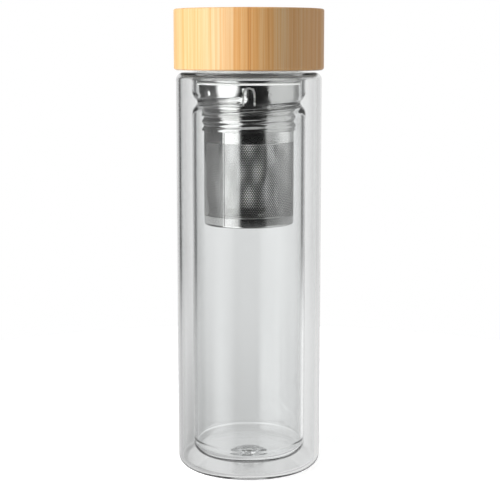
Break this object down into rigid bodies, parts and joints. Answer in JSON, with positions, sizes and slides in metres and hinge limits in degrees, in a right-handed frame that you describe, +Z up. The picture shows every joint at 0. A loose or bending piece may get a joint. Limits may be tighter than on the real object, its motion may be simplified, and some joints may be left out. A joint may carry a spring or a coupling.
{
  "type": "infuser water bottle",
  "caption": "Double-walled glass bottle with a screw-on bamboo lid and a screw-in stainless steel collar that carries a perforated tea basket.",
  "frame": {"origin": "centre of the foot, on the surface that the bottle stands on", "axes": "+Z up along the bottle's axis towards the lid; the collar's tongue faces -Y"},
  "size_m": [0.072, 0.072, 0.223],
  "materials": {
    "glass": "clear borosilicate glass",
    "steel": "polished stainless steel",
    "perforated_steel": "perforated stainless sheet",
    "bamboo": "fine sanded bamboo, upright strips",
    "silicone": "white silicone",
    "insert": "pale moulded plastic"
  },
  "bodies": {
    "bottle": {"outer_shell": "glass", "inner_flask": "glass", "base_vent_plug": "silicone"},
    "infuser_carrier": {"collar_seal": "silicone"},
    "infuser": {"infuser_collar": "steel"},
    "lid_carrier": {"lid_gasket": "silicone"},
    "lid": {"bamboo_cap": "bamboo", "lid_plug": "insert", "lid_disc": "steel"},
    "basket_carrier": {"basket_foot_band": "steel"},
    "basket": {"basket_ring": "steel", "basket_wall": "perforated_steel", "basket_floor": "perforated_steel"}
  },
  "joints": [
    {"name": "infuser_rise", "type": "slide", "parent": "bottle", "child": "infuser_carrier", "axis": [0, 0, 1], "range_m": [0, 0.00845]},
    {"name": "infuser_turn", "type": "hinge", "parent": "infuser_carrier", "child": "infuser", "pos_m": [0, 0, 0.1885], "axis": [0, 0, 1], "range_deg": [0, 380]},
    {"name": "lid_rise", "type": "slide", "parent": "infuser", "child": "lid_carrier", "axis": [0, 0, 1], "range_m": [0, 0.02001]},
    {"name": "lid_turn", "type": "hinge", "parent": "lid_carrier", "child": "lid", "pos_m": [0, 0, 0.1943], "axis": [0, 0, 1], "range_deg": [0, 900]},
    {"name": "basket_drop", "type": "slide", "parent": "infuser", "child": "basket_carrier", "axis": [0, 0, -1], "range_m": [0, 0.00801]},
    {"name": "basket_turn", "type": "hinge", "parent": "basket_carrier", "child": "basket", "pos_m": [0, 0, 0.1655], "axis": [0, 0, -1], "range_deg": [0, 720]}
  ],
  "couplings": [
    {"joint": "infuser_rise", "follows": "infuser_turn", "m_per_rad": 0.0012732},
    {"joint": "lid_rise", "follows": "lid_turn", "m_per_rad": 0.0012732},
    {"joint": "basket_drop", "follows": "basket_turn", "m_per_rad": 0.00063662}
  ]
}
